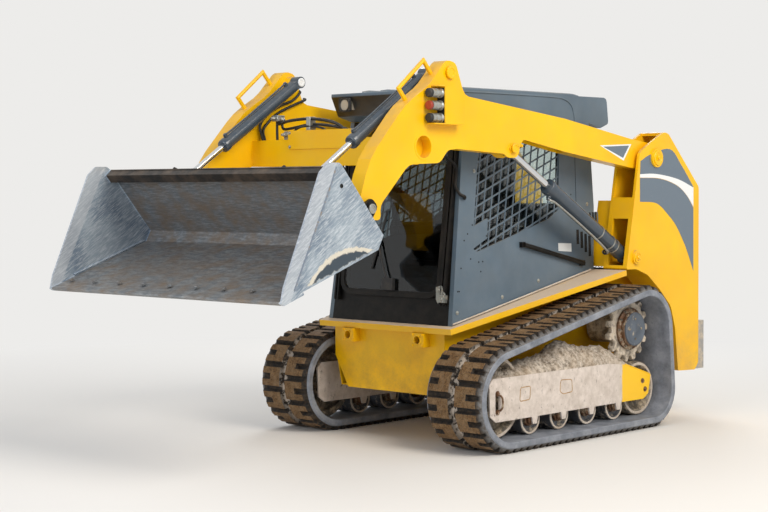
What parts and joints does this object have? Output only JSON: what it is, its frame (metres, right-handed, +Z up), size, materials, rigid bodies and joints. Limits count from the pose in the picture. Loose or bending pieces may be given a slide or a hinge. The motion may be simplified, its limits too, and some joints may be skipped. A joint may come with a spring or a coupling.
{
  "type": "compact track loader",
  "caption": "Compact track loader with a closed cab, lift arms raised in front of it and a wide dirt bucket tipped forward.",
  "frame": {"origin": "on the ground under the middle of the machine's overall length and width, with the bucket as shown", "axes": "+X to the operator's left, -Y forward, +Z up"},
  "size_m": [1.854, 3.938, 2.1626],
  "materials": {
    "yellow_paint": "gloss enamel",
    "slate_paint": "satin enamel",
    "black_paint": "satin enamel",
    "worn_steel": "worn bare plate",
    "cast_steel": "rough cast, dusty",
    "track_rubber": "moulded rubber",
    "chrome_rod": "hard chrome",
    "window_glass": "clear tempered",
    "seat_vinyl": "grained vinyl",
    "moulded_plastic": "moulded"
  },
  "bodies": {
    "machine": {"chassis": "yellow_paint", "body_sides": "yellow_paint", "cross_tubes": "yellow_paint", "deck": "yellow_paint", "rear_frame": "yellow_paint", "engine_block": "cast_steel", "engine_cover": "slate_paint", "rear_bumper": "slate_paint", "cab_sides": "slate_paint", "cab_windows": "window_glass", "cab_roof": "slate_paint", "cab_front_frame": "slate_paint", "cab_door": "black_paint", "cab_door_glass": "window_glass", "cab_rear_wall": "slate_paint", "cab_floor": "black_paint", "seat": "seat_vinyl", "seat_base": "moulded_plastic", "controls": "moulded_plastic", "support_bar": "slate_paint", "work_lamps": "moulded_plastic", "idlers": "cast_steel", "rollers": "cast_steel", "drives": "cast_steel", "track_frames": "yellow_paint", "towers": "yellow_paint", "track_left": "track_rubber", "track_right": "track_rubber"},
    "lift": {"lift_arms": "yellow_paint", "hydraulic_couplers": "worn_steel"},
    "bucket_body": {"hitch": "black_paint", "bucket": "worn_steel"},
    "lift_barrel_pair": {"lift_barrels": "black_paint"},
    "lift_rod_pair": {"lift_rods": "chrome_rod"},
    "tilt_barrel_pair": {"tilt_barrels": "black_paint"},
    "tilt_rod_pair": {"tilt_rods": "chrome_rod"},
    "rear_door_body": {"rear_door": "slate_paint"}
  },
  "joints": [
    {"name": "lift", "type": "hinge", "parent": "machine", "child": "lift", "pos_m": [0, 1.39, 1.643], "axis": [-1, 0, 0], "range_deg": [-29.4, 41.1]},
    {"name": "bucket_tilt", "type": "hinge", "parent": "lift", "child": "bucket_body", "pos_m": [0, -1.151, 1.36], "axis": [-1, 0, 0], "range_deg": [-62.5, 76]},
    {"name": "lift_barrel_swing", "type": "hinge", "parent": "machine", "child": "lift_barrel_pair", "pos_m": [0, 1.178, 1.034], "axis": [-1, 0, 0], "range_deg": [-26.37, 36.78]},
    {"name": "lift_rod_slide", "type": "slide", "parent": "lift_barrel_pair", "child": "lift_rod_pair", "axis": [0, -0.868, 0.4965], "range_m": [-0.3057, 0.4262]},
    {"name": "tilt_barrel_swing", "type": "hinge", "parent": "lift", "child": "tilt_barrel_pair", "pos_m": [0, -0.496, 2.086], "axis": [-1, 0, 0], "range_deg": [-3.24, 2.7]},
    {"name": "tilt_rod_slide", "type": "slide", "parent": "tilt_barrel_pair", "child": "tilt_rod_pair", "axis": [0, -0.8349, -0.5504], "range_m": [-0.2683, 0.2212]},
    {"name": "rear_door_hinge", "type": "hinge", "parent": "machine", "child": "rear_door_body", "pos_m": [0.536, 1.888, 0.9], "axis": [0, 0, -1], "range_deg": [0, 100]}
  ],
  "couplings": [
    {"joint": "lift_barrel_swing", "follows": "lift", "ratio": 0.89},
    {"joint": "lift_rod_slide", "follows": "lift", "m_per_rad": 0.59},
    {"joint": "tilt_barrel_swing", "follows": "bucket_tilt", "ratio": -0.04},
    {"joint": "tilt_rod_slide", "follows": "bucket_tilt", "m_per_rad": -0.2}
  ]
}
